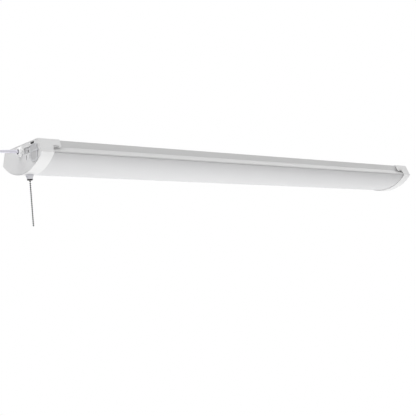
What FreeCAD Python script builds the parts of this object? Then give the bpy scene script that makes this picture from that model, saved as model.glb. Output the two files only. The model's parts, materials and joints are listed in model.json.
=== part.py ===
import FreeCAD, Part
import math
import os
import Sketcher

# Linkable shop light, 4 ft long, hung by its ends or screwed to a ceiling.
# Millimetres, +Z up, +X along the light, -Y to the front.
# The origin is the middle of the steel housing's top face.

doc = FreeCAD.newDocument("shop_light")
sheet = doc.addObject("Spreadsheet::Sheet", "dims")

DRIVING = {
    # whole light
    "light_length": 1220.0,
    # end caps: D-shaped outline, seen from the end
    "cap_top_half": 64.0,
    "cap_wide_half": 76.0,
    "cap_wide_drop": 27.7,
    "cap_bottom_drop": 59.0,
    "cap_wall": 1.6,
    "cap_sleeve": 50.0,
    "cap_band": 29.0,
    "cap_ring_inset": 4.2,
    "cap_ring_depth": 1.6,
    # end plates, let into the caps
    "plate_depth": 2.4,
    "plate_rim": 1.3,
    "seam_gap": 0.3,
    # housing: one bent steel channel, sized to slide into the caps
    "steel": 0.8,
    "waist_play": 3.7,
    "waist_drop": 14.5,
    "lip_play": 0.3,
    "lip_top_drop": 24.3,
    "lip_face": 2.9,
    "lip_return": 6.0,
    "housing_end_play": 1.0,
    # frosted lens
    "lens_wall": 1.6,
    "lens_gap": 1.8,
    "lens_neck_play": 0.3,
    "lens_flange": 4.5,
    "lens_cap_play": 0.2,
    "lens_end_play": 3.0,
    # ceiling screw slots in the web and hook slots in the end plates
    "screw_slot_setback": 102.0,
    "screw_slot": 12.0,
    "screw_slot_radius": 2.5,
    "hook_slot": 14.0,
    "hook_slot_radius": 2.3,
    "hook_slot_side": 43.0,
    "hook_slot_drop": 3.2,
    # latch window in each cap's flank
    "latch_length": 13.0,
    "latch_height": 2.4,
    "latch_setback": 31.0,
    "latch_drop": 14.0,
    "latch_land": 1.3,
    "sleeve_corner": 5.0,
    "tab_play": 0.4,
    # reflector tray, brackets and light strips
    "tray_steel": 0.6,
    "tray_drop": 22.0,
    "tray_half": 50.0,
    "tray_wing_play": 2.6,
    "tray_wing_drop": 3.2,
    "tray_setback": 34.0,
    "bracket_width": 24.0,
    "bracket_half": 40.0,
    "bracket_steel": 1.0,
    "bracket_setback": 180.0,
    "board_width": 18.0,
    "board_depth": 1.2,
    "board_side": 27.0,
    "board_clear": 26.0,
    "chip_length": 5.0,
    "chip_width": 4.0,
    "chip_depth": 0.9,
    "chips_per_board": 24.0,
    # driver under the web
    "driver_bracket_gap": 6.0,
    "driver_length": 220.0,
    "driver_half": 22.0,
    "driver_air": 2.2,
    "driver_steel": 0.8,
    "driver_ear": 12.0,
    "pcb_depth": 1.6,
    "pcb_post": 3.0,
    # link outlet and its swinging cover
    "outlet_offset": 1.6,
    "blade_spacing": 12.7,
    "blade_slot_width": 2.4,
    "blade_slot_height": 9.0,
    "blade_drop": 28.2,
    "ground_rise": 11.9,
    "ground_radius": 2.5,
    "outlet_slot_depth": 16.0,
    "outlet_depth": 24.0,
    "outlet_near": 10.5,
    "outlet_far": 34.5,
    "outlet_top_drop": 8.0,
    "outlet_bottom_drop": 36.5,
    "outlet_step_drop": 21.0,
    "outlet_step_depth": 1.5,
    "outlet_rear_margin": 3.0,
    "hinge_land": 0.4,
    "hinge_pin_radius": 0.8,
    "hinge_play": 0.05,
    "knuckle_radius": 1.4,
    "knuckle_length": 7.0,
    "cover_depth": 2.6,
    "cover_gap": 0.2,
    "cover_width": 23.4,
    "cover_top_drop": 6.9,
    "cover_bottom_drop": 41.0,
    "cover_corner": 9.0,
    "cover_small_corner": 3.0,
    "cover_frame": 2.0,
    "cover_panel_depth": 0.9,
    "cover_rib": 2.6,
    "cover_tab": 4.3,
    # cord gland
    "gland_side": 3.0,
    "gland_drop": 12.4,
    "gland_radius": 11.5,
    "gland_proud": 9.0,
    "gland_shoulder": 4.0,
    "gland_crown": 0.8,
    "gland_barrel": 8.0,
    "gland_inner_length": 15.0,
    "gland_tail_radius": 5.6,
    "gland_mouth_play": 1.5,
    "gland_mouth_depth": 3.0,
    "gland_nut_depth": 3.5,
    "gland_nut_radius": 9.5,
    # mains cord
    "cord_diameter": 6.5,
    "cord_tail_length": 24.0,
    "coil_inner_radius": 25.9,
    "coil_pitch": 7.1,
    "tie_width": 9.0,
    "tie_depth": 1.2,
    "tie_bite": 0.15,
    # plug
    "plug_relief": 16.0,
    "plug_length": 40.0,
    "plug_width": 26.0,
    "plug_depth": 18.0,
    "plug_neck_radius": 5.2,
    "blade_length": 17.0,
    "blade_width": 6.3,
    "blade_thick": 1.5,
    "blade_offset": 4.76,
    "pin_length": 20.0,
    "pin_radius": 2.38,
    # pull switch and its chain
    "chain_setback": 15.0,
    "neck_radius": 4.8,
    "neck_length": 13.7,
    "neck_play": 0.2,
    "switch_half_length": 10.5,
    "switch_outlet_gap": 0.75,
    "switch_gland_gap": 4.3,
    "switch_wall": 1.8,
    "plunger_radius": 2.1,
    "plunger_play": 0.08,
    "plunger_recess": 6.3,
    "plunger_head_play": 0.6,
    "plunger_head_depth": 3.0,
    "spring_radius": 4.2,
    "spring_wire": 0.4,
    "nut_depth": 3.0,
    "nut_washer_gap": 0.4,
    "nut_across": 15.0,
    "bell_height": 11.0,
    "bell_flats": 15.6,
    "bell_flat_depth": 3.4,
    "bell_top_radius": 7.2,
    "bell_rim_radius": 6.0,
    "bell_mouth_radius": 4.9,
    "bell_throat_radius": 3.0,
    "bead_radius": 1.6,
    "bead_pitch": 4.07,
    "link_radius": 0.45,
    "bead_flat_angle": 68.0,
    "bead_hang": 2.6,
    "beads_shown": 23.0,
    "beads_upper": 11.0,
    # wires and fasteners
    "wire_radius": 1.1,
    "wire_rise": 7.0,
    "wire_slack": 45.0,
    "wire_straight": 25.0,
    "wire_drop": 8.0,
    "led_wire_side": 8.0,
    "screw_radius": 1.7,
    "screw_head_across": 5.5,
    "screw_head_depth": 1.8,
}

for row, (name, number) in enumerate(DRIVING.items(), start=1):
    sheet.set(f"A{row}", name)
    sheet.set(f"B{row}", str(number))
    sheet.setAlias(f"B{row}", name)
doc.recompute()


class Size:
    """A length with its value now and the spreadsheet expression that gives it."""

    def __init__(self, value, text):
        self.value = float(value)
        self.text = text

    def _with(self, other, sign, result):
        return Size(result, f"({self.text} {sign} {as_size(other).text})")

    def __add__(self, other):
        return self._with(other, "+", self.value + as_size(other).value)

    def __radd__(self, other):
        return as_size(other) + self

    def __sub__(self, other):
        return self._with(other, "-", self.value - as_size(other).value)

    def __rsub__(self, other):
        return as_size(other) - self

    def __mul__(self, other):
        return self._with(other, "*", self.value * as_size(other).value)

    def __rmul__(self, other):
        return as_size(other) * self

    def __truediv__(self, other):
        return self._with(other, "/", self.value / as_size(other).value)

    def __neg__(self):
        return Size(-self.value, f"(0 - {self.text})")


def as_size(number):
    if isinstance(number, Size):
        return number
    return Size(number, repr(float(number)))


def root_of(size):
    return Size(math.sqrt(size.value), f"sqrt({size.text})")


class Named:
    """The driving sizes, read by name."""


d = Named()
for name in DRIVING:
    setattr(d, name, Size(sheet.get(name), f"dims.{name}"))

finished = []          # every sub-part, in the order it is made


# ---------------------------------------------------------------- helpers

def new_body(label):
    body = doc.addObject("PartDesign::Body", label)
    body.Label = label
    finished.append(body)
    return body


def origin_plane(body, role):
    for feature in body.Origin.OriginFeatures:
        if feature.Role == role:
            return feature
    raise ValueError(role)


def arc_between(start, end, radius, side):
    """The minor arc from start to end; side +1 puts its centre left of the travel."""
    dx, dy = end[0] - start[0], end[1] - start[1]
    chord = math.hypot(dx, dy)
    rise = math.sqrt(max(radius * radius - chord * chord / 4, 0.0))
    cx = (start[0] + end[0]) / 2 - side * dy / chord * rise
    cy = (start[1] + end[1]) / 2 + side * dx / chord * rise
    a0 = math.atan2(start[1] - cy, start[0] - cx)
    a1 = math.atan2(end[1] - cy, end[0] - cx)
    circle = Part.Circle(FreeCAD.Vector(cx, cy, 0), FreeCAD.Vector(0, 0, 1), radius)
    if side > 0:
        return Part.ArcOfCircle(circle, a0, a1 if a1 > a0 else a1 + 2 * math.pi)
    return Part.ArcOfCircle(circle, a1, a0 if a0 > a1 else a0 + 2 * math.pi)


def bind(sketch, kind, *where, size):
    number = sketch.addConstraint(Sketcher.Constraint(kind, *where, size.value))
    sketch.setExpression(f"Constraints[{number}]", size.text)


def draw_loop(sketch, loop):
    """A closed outline. Each corner is (x, y), or (x, y, radius, side) where an arc leaves it."""
    corners = [(as_size(c[0]), as_size(c[1])) for c in loop]
    starts = []
    ends = []
    for k, corner in enumerate(loop):
        a = (corners[k][0].value, corners[k][1].value)
        following = corners[(k + 1) % len(loop)]
        b = (following[0].value, following[1].value)
        if len(corner) == 4:
            radius, side = as_size(corner[2]), corner[3]
            number = sketch.addGeometry(arc_between(a, b, radius.value, side), False)
            starts.append((number, 1 if side > 0 else 2))
            ends.append((number, 2 if side > 0 else 1))
        else:
            line = Part.LineSegment(FreeCAD.Vector(*a, 0), FreeCAD.Vector(*b, 0))
            number = sketch.addGeometry(line, False)
            starts.append((number, 1))
            ends.append((number, 2))
    for k, corner in enumerate(loop):
        following = starts[(k + 1) % len(loop)]
        sketch.addConstraint(Sketcher.Constraint("Coincident", *ends[k], *following))
        bind(sketch, "DistanceX", -1, 1, *starts[k], size=corners[k][0])
        bind(sketch, "DistanceY", -1, 1, *starts[k], size=corners[k][1])
        if len(corner) == 4:
            bind(sketch, "Radius", starts[k][0], size=as_size(corner[2]))


def draw_circle(sketch, circle):
    x, y, radius = (as_size(v) for v in circle)
    centre = FreeCAD.Vector(x.value, y.value, 0)
    number = sketch.addGeometry(Part.Circle(centre, FreeCAD.Vector(0, 0, 1), radius.value), False)
    bind(sketch, "DistanceX", -1, 1, number, 3, size=x)
    bind(sketch, "DistanceY", -1, 1, number, 3, size=y)
    bind(sketch, "Radius", number, size=radius)


def new_sketch(body, role, start, loops=(), circles=()):
    """A sketch on one of the body's planes, moved along the plane's normal."""
    sketch = body.newObject("Sketcher::SketchObject", f"{body.Label}_sketch")
    sketch.AttachmentSupport = [(origin_plane(body, role), "")]
    sketch.MapMode = "FlatFace"
    start = as_size(start)
    sketch.AttachmentOffset = FreeCAD.Placement(
        FreeCAD.Vector(0, 0, start.value), FreeCAD.Rotation())
    sketch.setExpression("AttachmentOffset.Base.z", start.text)
    for loop in loops:
        draw_loop(sketch, loop)
    for circle in circles:
        draw_circle(sketch, circle)
    return sketch


def pad(body, role, start, length, loops=(), circles=()):
    sketch = new_sketch(body, role, start, loops, circles)
    feature = body.newObject("PartDesign::Pad", f"{body.Label}_pad")
    feature.Profile = sketch
    feature.Length = as_size(length).value
    feature.setExpression("Length", as_size(length).text)
    doc.recompute()
    return feature


def pocket(body, role, start, length, loops=(), circles=()):
    """Cuts from start towards the plane's normal, and proves that it cut."""
    before = body.Shape.Volume
    sketch = new_sketch(body, role, start, loops, circles)
    feature = body.newObject("PartDesign::Pocket", f"{body.Label}_pocket")
    feature.Profile = sketch
    feature.Reversed = True
    feature.Length = as_size(length).value
    feature.setExpression("Length", as_size(length).text)
    doc.recompute()
    if body.Shape.Volume >= before:
        raise ValueError(f"a pocket of {body.Label} cut nothing")
    return feature


def revolve(body, role, loop, axis):
    sketch = new_sketch(body, role, 0.0, [loop])
    feature = body.newObject("PartDesign::Revolution", f"{body.Label}_turn")
    feature.Profile = sketch
    feature.ReferenceAxis = (sketch, [axis])
    feature.Angle = 360.0
    doc.recompute()
    return feature


def place(body, x=0.0, y=0.0, z=0.0):
    for axis, size in zip("xyz", (x, y, z)):
        size = as_size(size)
        setattr(body.Placement.Base, axis, size.value)
        body.setExpression(f"Placement.Base.{axis}", size.text)


def rectangle(x0, x1, y0, y1):
    return [(x0, y0), (x1, y0), (x1, y1), (x0, y1)]


def obround(cx, cy, length, radius):
    """A slot with round ends, its length along the sketch's x."""
    flat = length / 2 - radius
    left, right = cx - flat, cx + flat
    return [
        (left, cy - radius),
        (right, cy - radius, radius, 1),
        (right + radius, cy, radius, 1),
        (right, cy + radius),
        (left, cy + radius, radius, 1),
        (left - radius, cy, radius, 1),
    ]


def hexagon(cx, cy, across):
    """A nut's outline; its corners lie on a circle that is across / cos 30 wide."""
    corner = across / math.sqrt(3)
    return [
        (cx + corner, cy),
        (cx + corner / 2, cy + across / 2),
        (cx - corner / 2, cy + across / 2),
        (cx - corner, cy),
        (cx - corner / 2, cy - across / 2),
        (cx + corner / 2, cy - across / 2),
    ]


def d_outline(inset):
    """The cap's D outline in the Y-Z plane, drawn in by an even inset."""
    top = d.cap_wall - inset
    wide = d.cap_wide_half - inset
    bottom = d.cap_bottom_drop - inset
    rise = bottom - d.cap_wide_drop
    radius = (wide * wide + rise * rise) / (2 * rise)
    return [
        (-(d.cap_top_half - inset), top),
        (-wide, -d.cap_wide_drop, radius, 1),
        (as_size(0.0), -bottom, radius, 1),
        (wide, -d.cap_wide_drop),
        (d.cap_top_half - inset, top),
    ]


def add_shape(label, shape):
    """A piece whose form neither a sketch nor a primitive gives."""
    feature = doc.addObject("Part::Feature", label)
    feature.Label = label
    feature.Shape = shape
    finished.append(feature)
    return feature


def primitive(kind, name, place_at, turn=None, **sizes):
    """A Part primitive with its sizes and place bound to the spreadsheet."""
    thing = doc.addObject(f"Part::{kind}", name)
    for prop, size in sizes.items():
        size = as_size(size)
        setattr(thing, prop, size.value)
        thing.setExpression(prop, size.text)
    if turn is not None:
        thing.Placement = FreeCAD.Placement(FreeCAD.Vector(0, 0, 0), turn)
    for axis, size in zip("xyz", place_at):
        size = as_size(size)
        thing.setExpression(f"Placement.Base.{axis}", size.text)
    return thing


def box(name, x0, x1, y0, y1, z0, z1):
    return primitive("Box", name, (x0, y0, z0),
                     Length=x1 - x0, Width=y1 - y0, Height=z1 - z0)


def group(label, things):
    """Separate solids that share one node."""
    compound = doc.addObject("Part::Compound", label)
    compound.Label = label
    compound.Links = things
    finished.append(compound)
    return compound


ALONG_X = FreeCAD.Rotation(FreeCAD.Vector(0, 1, 0), 90)


# ---------------------------------------------------------------- places

left_face = -d.light_length / 2
right_face = d.light_length / 2
web_under = -d.steel
outlet_mid = (d.outlet_near + d.outlet_far) / 2 + d.outlet_offset
hinge_side = d.outlet_far + d.knuckle_radius + d.hinge_land
chain_x = left_face + d.chain_setback


def flank_at(drop):
    """Half the width inside a cap's slanted flanks, at a drop below its inner top."""
    return d.cap_top_half - d.cap_wall + (d.cap_wide_half - d.cap_top_half) * drop / d.cap_wide_drop


web_half = flank_at(as_size(0.0))
waist_half = flank_at(d.waist_drop) - d.waist_play
lip_half = flank_at(d.lip_top_drop) - d.lip_play


def span(face, inward, near, far):
    """Start and length of a stretch that lies near..far inside an end face."""
    if inward > 0:
        return face + near, far - near
    return face - far, far - near


# ---------------------------------------------------------------- caps and end plates

def make_cap(label, face, inward, has_switch):
    body = new_body(label)
    pad(body, "YZ_Plane", *span(face, inward, as_size(0.0), d.cap_sleeve), [d_outline(as_size(0.0))])
    behind = d.plate_depth + d.cap_ring_depth
    pocket(body, "YZ_Plane", *span(face, inward, behind, d.cap_sleeve), [d_outline(d.cap_wall)])
    pocket(body, "YZ_Plane", *span(face, inward, as_size(0.0), d.plate_depth),
           [d_outline(d.plate_rim)])
    pocket(body, "YZ_Plane", *span(face, inward, d.plate_depth, behind),
           [d_outline(d.cap_ring_inset)])
    # room behind the two hook slots
    notch_half = d.hook_slot / 2 + d.cap_wall
    notch_low = -(d.hook_slot_drop + d.hook_slot_radius + d.cap_wall)
    notches = [rectangle(side - notch_half, side + notch_half, notch_low, as_size(0.0))
               for side in (d.hook_slot_side, -d.hook_slot_side)]
    pocket(body, "YZ_Plane", *span(face, inward, d.plate_depth, behind), notches)
    # the sleeve over the housing's flanks is longer than the band; its edge sweeps down to the band
    wide = d.cap_wide_half + d.cap_wall
    low = -d.cap_bottom_drop - d.cap_wall
    edge = -d.latch_drop - d.latch_height / 2 - d.latch_land
    round_off = d.sleeve_corner
    band_end, sleeve_end = face + d.cap_band * inward, face + d.cap_sleeve * inward
    pocket(body, "XZ_Plane", -wide, wide * 2, [[
        (band_end, low),
        (sleeve_end + d.cap_wall * inward, low),
        (sleeve_end + d.cap_wall * inward, edge + round_off),
        (sleeve_end, edge + round_off, round_off, -inward),
        (sleeve_end - round_off * inward, edge),
        (band_end + round_off * inward, edge, round_off, inward),
        (band_end, edge - round_off),
    ]])
    latch_start, latch_run = span(face, inward, d.latch_setback, d.latch_setback + d.latch_length)
    window = rectangle(latch_start, latch_start + latch_run,
                       -d.latch_drop - d.latch_height / 2, -d.latch_drop + d.latch_height / 2)
    flank = d.cap_top_half
    pocket(body, "XZ_Plane", flank, wide - flank, [window])
    pocket(body, "XZ_Plane", -wide, wide - flank, [window])
    if has_switch:
        pocket(body, "XY_Plane", -d.cap_bottom_drop - d.cap_wall, d.cap_wall * 3,
               circles=[(face + d.chain_setback * inward, 0.0, d.neck_radius + d.neck_play)])
    return body


def make_plate(label, face, inward):
    body = new_body(label)
    start, length = span(face, inward, as_size(0.0), d.plate_depth)
    pad(body, "YZ_Plane", start, length, [d_outline(d.plate_rim + d.seam_gap)])
    slots = [obround(side, -d.hook_slot_drop, d.hook_slot, d.hook_slot_radius)
             for side in (d.hook_slot_side, -d.hook_slot_side)]
    pocket(body, "YZ_Plane", start, length, slots)
    return body


make_cap("left_end_cap", left_face, 1, True)
make_cap("right_end_cap", right_face, -1, False)
make_plate("right_end_plate", right_face, -1)

# the left plate also holds the cord gland, the link outlet and its cover's hinge
plate = make_plate("left_end_plate", left_face, 1)
pocket(plate, "YZ_Plane", left_face, d.plate_depth,
       [rectangle(-d.outlet_far, -d.outlet_near, -d.outlet_bottom_drop, -d.outlet_top_drop)],
       [(d.gland_side, -d.gland_drop, d.gland_barrel)])

hinge_x = left_face - d.cover_gap - d.cover_depth / 2
hinge_z = -(d.cover_top_drop + d.cover_bottom_drop) / 2
knuckle_far = d.knuckle_length * 1.5 + d.cover_gap
knuckle_near = d.knuckle_length / 2 + d.cover_gap
for low in (hinge_z - knuckle_far, hinge_z + knuckle_near):
    pad(plate, "XY_Plane", low, d.knuckle_length,
        [rectangle(hinge_x, left_face, -hinge_side - d.knuckle_radius,
                   -hinge_side + d.knuckle_radius)])
    pad(plate, "XY_Plane", low, d.knuckle_length,
        circles=[(hinge_x, -hinge_side, d.knuckle_radius)])
pocket(plate, "XY_Plane", hinge_z - knuckle_far, knuckle_far * 2,
       circles=[(hinge_x, -hinge_side, d.hinge_pin_radius)])

pin = new_body("outlet_cover_pin")
pad(pin, "XY_Plane", hinge_z - knuckle_far, knuckle_far * 2,
    circles=[(hinge_x, -hinge_side, d.hinge_pin_radius)])


# ---------------------------------------------------------------- link outlet and cover

def make_outlet():
    body = new_body("link_outlet_body")
    play = d.seam_gap / 2
    near, far = -d.outlet_near - play, -d.outlet_far + play
    top, bottom = -d.outlet_top_drop - play, -d.outlet_bottom_drop + play
    margin = d.outlet_rear_margin / 2
    pad(body, "YZ_Plane", left_face, d.plate_depth, [rectangle(far, near, bottom, top)])
    pad(body, "YZ_Plane", left_face + d.plate_depth, d.outlet_depth - d.plate_depth,
        [rectangle(far - margin, near + margin, bottom - margin, top + margin)])
    pocket(body, "YZ_Plane", left_face, d.outlet_step_depth,
           [rectangle(far, near, -d.outlet_step_drop, top)])
    half = d.blade_slot_width / 2
    rise = d.blade_slot_height / 2
    slots = []
    for side in (-d.blade_spacing / 2, d.blade_spacing / 2):
        middle = side - outlet_mid
        slots.append(rectangle(middle - half, middle + half, -d.blade_drop - rise,
                               -d.blade_drop + rise))
    pocket(body, "YZ_Plane", left_face, d.outlet_slot_depth, slots,
           [(-outlet_mid, -d.blade_drop + d.ground_rise, d.ground_radius)])
    return body


make_outlet()

leaf = d.blade_slot_width / 4
leaves = []
for k, side in enumerate((-1, 1)):
    middle = d.blade_spacing * side / 2 - outlet_mid
    outer = middle + d.blade_slot_width / 2 - leaf if side > 0 else middle - d.blade_slot_width / 2
    leaves.append(box(f"contact_leaf_{k + 1}", left_face + d.outlet_slot_depth / 2,
                      left_face + d.outlet_slot_depth, outer, outer + leaf,
                      -d.blade_drop - d.blade_slot_height / 4,
                      -d.blade_drop + d.blade_slot_height / 4))
group("outlet_blade_contacts", leaves)
ground_tab = box("outlet_ground_tab", left_face + d.outlet_depth,
                 left_face + d.outlet_depth + leaf, -outlet_mid - d.ground_radius * 2,
                 -outlet_mid + d.ground_radius * 2,
                 -d.blade_drop + d.ground_rise - d.ground_radius * 2,
                 -d.blade_drop + d.ground_rise + d.ground_radius * 2)
group("outlet_ground_strap", [ground_tab])


def make_cover():
    """The outlet's cover, lying open; folded over it shuts the outlet."""
    body = new_body("outlet_cover")
    near = -hinge_side - d.knuckle_radius - d.cover_gap
    far = near - d.cover_width
    top, bottom = -d.cover_top_drop, -d.cover_bottom_drop
    small, large = d.cover_small_corner, d.cover_corner
    rib = -d.outlet_step_drop
    half = d.cover_rib / 2
    outer = left_face - d.cover_gap - d.cover_depth
    outline = [
        (far + large, bottom),
        (near - small, bottom, small, 1),
        (near, bottom + small),
        (near, top - small, small, 1),
        (near - small, top),
        (far + small, top, small, 1),
        (far, top - small),
        (far, rib + half),
        (far - d.cover_tab, rib + half),
        (far - d.cover_tab, rib - half),
        (far, rib - half),
        (far, bottom + large, large, 1),
    ]
    pad(body, "YZ_Plane", outer, d.cover_depth, [outline])
    frame = d.cover_frame
    inner = large - frame
    upper_panel = rectangle(far + frame, near - frame, rib + half, top - frame)
    lower_panel = [
        (far + large, bottom + frame),
        (near - large, bottom + frame, inner, 1),
        (near - frame, bottom + large),
        (near - frame, rib - half),
        (far + frame, rib - half),
        (far + frame, bottom + large, inner, 1),
    ]
    pocket(body, "YZ_Plane", outer, d.cover_panel_depth, [upper_panel, lower_panel])
    low = hinge_z - d.knuckle_length / 2
    pad(body, "XY_Plane", low, d.knuckle_length,
        [rectangle(outer, outer + d.cover_depth, near - frame / 2, -hinge_side)])
    pad(body, "XY_Plane", low, d.knuckle_length,
        circles=[(hinge_x, -hinge_side, d.cover_depth / 2)])
    pocket(body, "XY_Plane", low, d.knuckle_length,
           circles=[(hinge_x, -hinge_side, d.hinge_pin_radius + d.hinge_play)])
    return body


make_cover()


# ---------------------------------------------------------------- housing and lens

def channel_outline():
    """The steel channel's bent section: web, flanks, flared ledges, lips and returns."""
    t = d.steel
    half = [
        (lip_half - d.lip_return, -d.lip_top_drop - d.lip_face),
        (lip_half, -d.lip_top_drop - d.lip_face),
        (lip_half, -d.lip_top_drop),
        (waist_half, -d.waist_drop),
        (web_half, as_size(0.0)),
    ]
    inside = [
        (web_half - t, -t),
        (waist_half - t, -d.waist_drop - t / 2),
        (lip_half - t, -d.lip_top_drop - t / 2),
        (lip_half - t, -d.lip_top_drop - d.lip_face + t),
        (lip_half - d.lip_return, -d.lip_top_drop - d.lip_face + t),
    ]
    outer_left = [(-y, z) for y, z in half]
    inner_left = [(-y, z) for y, z in inside]
    return (half + list(reversed(outer_left))
            + list(reversed(inner_left)) + inside)


housing = new_body("housing")
housing_setback = d.plate_depth + d.cap_ring_depth + d.housing_end_play
housing_start = left_face + housing_setback
housing_length = d.light_length - housing_setback * 2
pad(housing, "YZ_Plane", housing_start, housing_length, [channel_outline()])
pocket(housing, "XY_Plane", -d.steel * 2, d.steel * 3,
       [obround(along, as_size(0.0), d.screw_slot, d.screw_slot_radius)
        for along in (left_face + d.screw_slot_setback, right_face - d.screw_slot_setback)])

# steel tabs lanced out of the flanks spring into the caps' latch windows
tab_root = waist_half - d.steel
tab_reach = flank_at(d.latch_drop) + d.cap_wall / 2 - tab_root
tabs = []
for face, inward in ((left_face, 1), (right_face, -1)):
    tab_start, tab_run = span(face, inward, d.latch_setback + d.tab_play,
                              d.latch_setback + d.latch_length - d.tab_play)
    tabs.append(rectangle(tab_start, tab_start + tab_run,
                          -d.latch_drop - d.steel / 2, -d.latch_drop + d.steel / 2))
pad(housing, "XZ_Plane", tab_root, tab_reach, tabs)
pad(housing, "XZ_Plane", -tab_root - tab_reach, tab_reach, tabs)

lens_half = lip_half
return_top = -d.lip_top_drop - d.lip_face + d.steel
lens_shoulder = -d.lip_top_drop - d.lip_face - d.lens_gap
lens_bottom = -d.cap_bottom_drop + d.cap_wall + d.lens_cap_play
lens_rise = lens_shoulder - lens_bottom
lens_radius = (lens_half * lens_half + lens_rise * lens_rise) / (2 * lens_rise)


def lens_outline():
    """Frosted D section: flanges that lie on the lips' returns, necks and the bowl."""
    wall = d.lens_wall
    neck = lip_half - d.lip_return - d.lens_neck_play
    flange_top = return_top + wall
    shelf = lens_shoulder - wall
    inner_radius = lens_radius - wall
    centre = lens_bottom + lens_radius
    shelf_half = root_of(inner_radius * inner_radius - (centre - shelf) * (centre - shelf))
    flange = neck + d.lens_flange
    return [
        (-flange, flange_top),
        (-flange, return_top),
        (-neck, return_top),
        (-neck, lens_shoulder),
        (-lens_half, lens_shoulder, lens_radius, 1),
        (as_size(0.0), lens_bottom, lens_radius, 1),
        (lens_half, lens_shoulder),
        (neck, lens_shoulder),
        (neck, return_top),
        (flange, return_top),
        (flange, flange_top),
        (neck - wall, flange_top),
        (neck - wall, shelf),
        (shelf_half, shelf, inner_radius, -1),
        (as_size(0.0), lens_bottom + wall, inner_radius, -1),
        (-shelf_half, shelf),
        (-neck + wall, shelf),
        (-neck + wall, flange_top),
    ]


lens = new_body("diffuser_lens")
lens_setback = d.cap_band - d.lens_end_play - d.steel
pad(lens, "YZ_Plane", left_face + lens_setback, d.light_length - lens_setback * 2,
    [lens_outline()])


# ---------------------------------------------------------------- tray, brackets, light strips

tray = new_body("reflector_tray")
tray_start = left_face + d.tray_setback
tray_length = d.light_length - d.tray_setback * 2
tray_under = -d.tray_drop - d.tray_steel
wing_half = lip_half - d.lip_return - d.tray_wing_play
pad(tray, "YZ_Plane", tray_start, tray_length, [[
    (-wing_half, -d.tray_drop - d.tray_wing_drop),
    (-wing_half, tray_under - d.tray_wing_drop),
    (-d.tray_half, tray_under),
    (d.tray_half, tray_under),
    (wing_half, tray_under - d.tray_wing_drop),
    (wing_half, -d.tray_drop - d.tray_wing_drop),
    (d.tray_half, -d.tray_drop),
    (-d.tray_half, -d.tray_drop),
]])

# each bracket's feet are spot-welded to the tray
brackets = []
bracket_places = (left_face + d.bracket_setback, as_size(0.0), right_face - d.bracket_setback)
for k, x in enumerate(bracket_places):
    bracket = doc.addObject("PartDesign::Body", f"tray_bracket_{k + 1}")
    t = d.bracket_steel
    foot = d.tray_half - d.bracket_steel
    pad(bracket, "YZ_Plane", x - d.bracket_width / 2, d.bracket_width, [[
        (-d.bracket_half, web_under),
        (-d.bracket_half, -d.tray_drop + t),
        (-foot, -d.tray_drop + t),
        (-foot, -d.tray_drop),
        (-d.bracket_half + t, -d.tray_drop),
        (-d.bracket_half + t, web_under - t),
        (d.bracket_half - t, web_under - t),
        (d.bracket_half - t, -d.tray_drop),
        (foot, -d.tray_drop),
        (foot, -d.tray_drop + t),
        (d.bracket_half, -d.tray_drop + t),
        (d.bracket_half, web_under),
    ]])
    brackets.append(bracket)
group("tray_brackets", brackets)

board_setback = d.outlet_depth + d.board_clear
board_start, board_end = left_face + board_setback, right_face - board_setback
chip_count = int(d.chips_per_board.value)
chip_pitch = (board_end - board_start).value / chip_count
for name, side in (("front", -1), ("rear", 1)):
    board = new_body(f"led_board_{name}")
    middle = d.board_side * side
    pad(board, "XY_Plane", tray_under - d.board_depth, d.board_depth,
        [rectangle(board_start, board_end, middle - d.board_width / 2, middle + d.board_width / 2)])
    chips = []
    for k in range(chip_count):
        x = board_start.value + (k + 0.5) * chip_pitch
        corner = FreeCAD.Vector(x - d.chip_length.value / 2,
                                middle.value - d.chip_width.value / 2,
                                (tray_under - d.board_depth - d.chip_depth).value)
        chips.append(Part.makeBox(d.chip_length.value, d.chip_width.value,
                                  d.chip_depth.value, corner))
    add_shape(f"led_chips_{name}", Part.makeCompound(chips))


# ---------------------------------------------------------------- driver

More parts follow.
